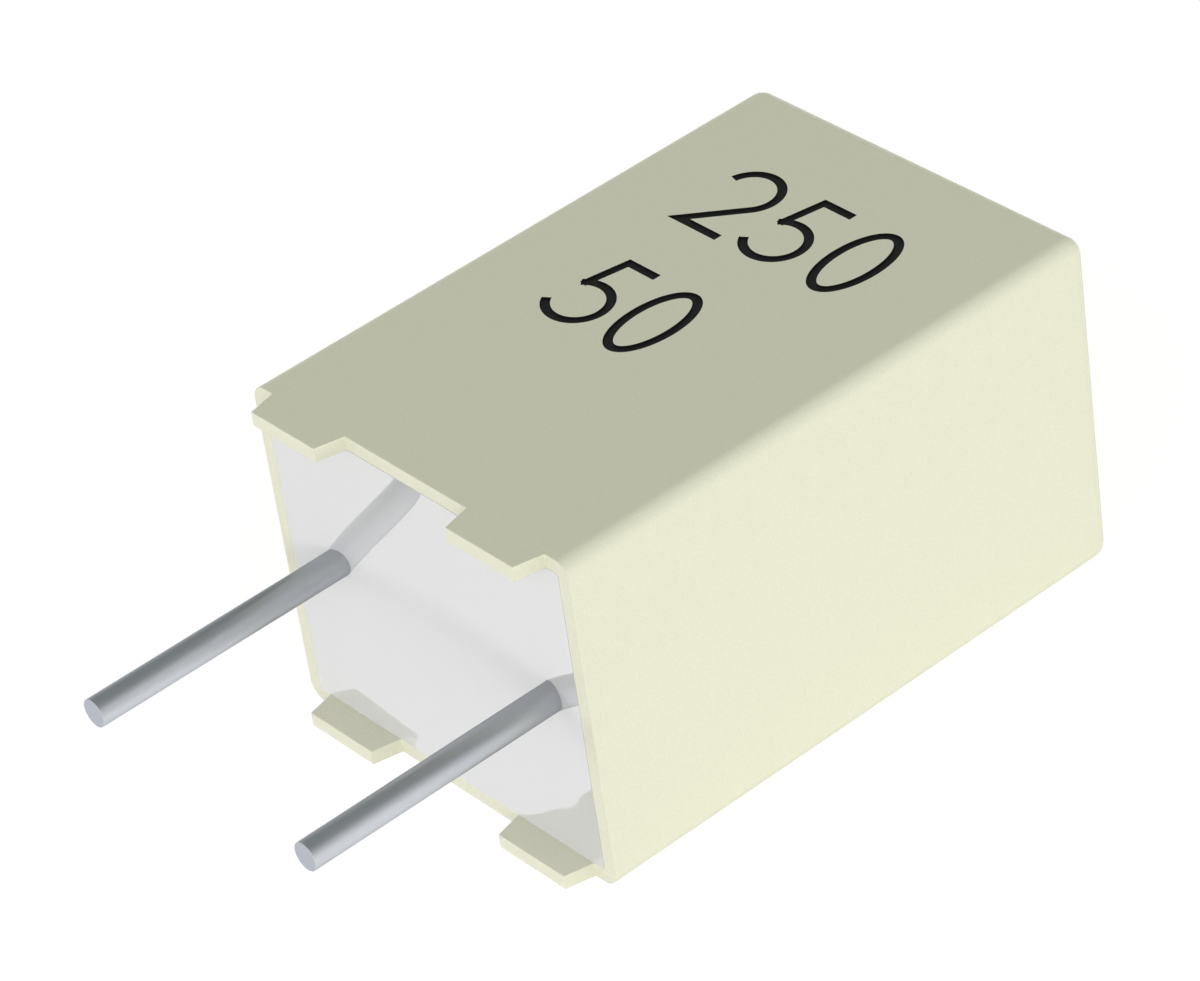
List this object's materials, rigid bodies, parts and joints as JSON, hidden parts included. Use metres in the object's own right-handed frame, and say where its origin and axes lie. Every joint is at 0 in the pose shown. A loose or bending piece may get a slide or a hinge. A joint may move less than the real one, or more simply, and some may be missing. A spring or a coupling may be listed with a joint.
{
  "type": "box film capacitor",
  "caption": "Moulded rectangular plastic box capacitor: resin-filled lead face, small stand-off feet on the rim, straight parallel wire leads, and a flattened film winding inside.",
  "frame": {"origin": "midway between the leads, in the plane of the feet tips that seats on the board", "axes": "+Z out of the marked wide face, -Y along the leads as they leave, +X along the lead pitch"},
  "size_m": [0.0072, 0.015, 0.006],
  "materials": {
    "case": "fine moulded grain, satin",
    "resin": "cast, glossy",
    "film": "wound metallised film",
    "sprayed_metal": "rough sprayed",
    "tinned_wire": "satin tin"
  },
  "bodies": {
    "root": {"case": "case", "resin_fill": "resin", "film_winding": "film", "end_contact_left": "sprayed_metal", "end_contact_right": "sprayed_metal", "lead_left": "tinned_wire", "lead_right": "tinned_wire"}
  },
  "joints": []
}
